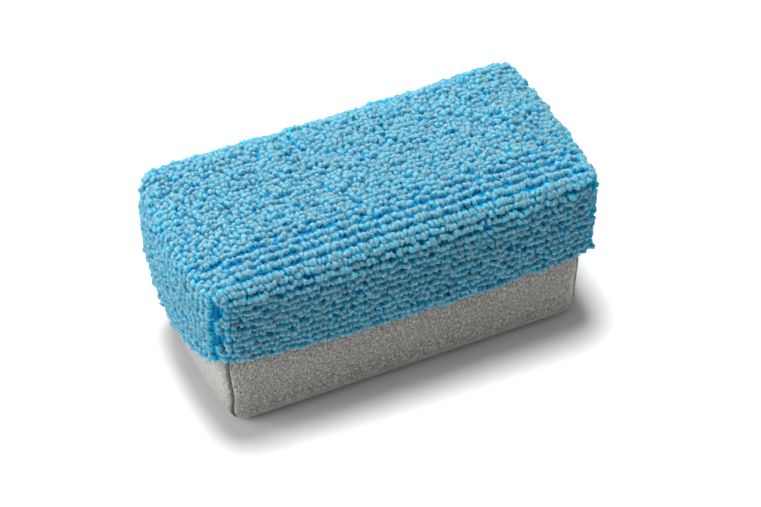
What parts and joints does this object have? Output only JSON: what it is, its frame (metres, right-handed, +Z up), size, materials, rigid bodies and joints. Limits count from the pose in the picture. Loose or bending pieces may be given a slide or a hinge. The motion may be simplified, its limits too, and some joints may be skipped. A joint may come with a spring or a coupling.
{
  "type": "detailing applicator block",
  "caption": "Hand-held foam block with a looped terry cap over a flat suede tray, sewn at the corners, for spreading or wiping coatings.",
  "frame": {"origin": "centre of the suede base, on the surface that the block stands on", "axes": "+X along the block's length, +Y across it, +Z up from the suede base towards the terry top"},
  "size_m": [0.096, 0.045, 0.044],
  "materials": {
    "terry": "matte",
    "suede": "matte",
    "foam": "matte",
    "film": "gloss",
    "adhesive": "satin",
    "terry_thread": "matte",
    "suede_thread": "matte"
  },
  "bodies": {
    "root": {"foam_core": "foam", "barrier_film": "film", "bond_strip": "adhesive", "terry_cover": "terry", "suede_cover": "suede", "terry_seam_front_left": "terry_thread", "terry_seam_front_right": "terry_thread", "terry_seam_back_left": "terry_thread", "terry_seam_back_right": "terry_thread", "suede_seam_front_left": "suede_thread", "suede_seam_front_right": "suede_thread", "suede_seam_back_left": "suede_thread", "suede_seam_back_right": "suede_thread"}
  },
  "joints": []
}
